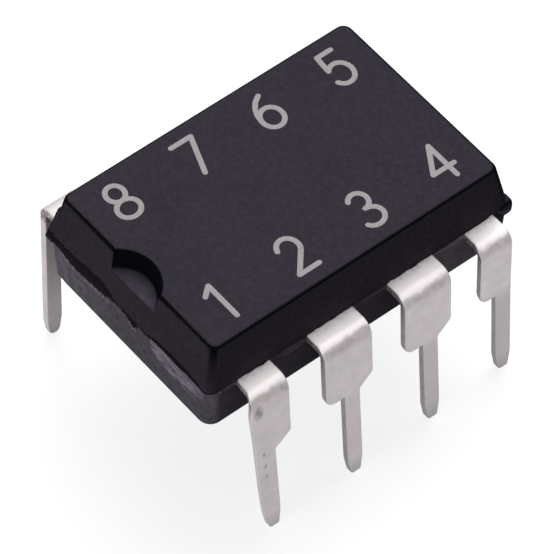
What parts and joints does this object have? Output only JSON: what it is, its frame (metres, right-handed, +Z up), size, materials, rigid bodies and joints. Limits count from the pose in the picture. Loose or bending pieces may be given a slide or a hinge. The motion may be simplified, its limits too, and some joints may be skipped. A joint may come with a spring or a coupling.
{
  "type": "dual in-line integrated circuit package",
  "caption": "Black moulded dual in-line integrated circuit with a half-round notch in one end and two rows of bent flat leads.",
  "frame": {"origin": "middle of the footprint on the plane that the lead tips stand on", "axes": "+X along the body from the notched end to the plain end; +Y across the body from leads 1 to 4 to leads 5 to 8; +Z up, out of the marked face"},
  "size_m": [0.0096, 0.0086, 0.0066],
  "materials": {
    "epoxy_moulding": "matte black moulding compound with a fine grain",
    "tinned_lead": "satin tin plate over copper alloy",
    "copper_alloy": "bare rolled copper alloy",
    "silver_epoxy": "silver-filled die attach",
    "silicon": "polished silicon",
    "gold_wire": "drawn gold"
  },
  "bodies": {
    "root": {"moulded_body": "epoxy_moulding", "lead_1": "tinned_lead", "lead_2": "tinned_lead", "lead_3": "tinned_lead", "lead_4": "tinned_lead", "lead_5": "tinned_lead", "lead_6": "tinned_lead", "lead_7": "tinned_lead", "lead_8": "tinned_lead", "die_paddle": "copper_alloy", "die_attach": "silver_epoxy", "silicon_die": "silicon", "bond_wire_1": "gold_wire", "bond_wire_2": "gold_wire", "bond_wire_3": "gold_wire", "bond_wire_4": "gold_wire", "bond_wire_5": "gold_wire", "bond_wire_6": "gold_wire", "bond_wire_7": "gold_wire"}
  },
  "joints": []
}
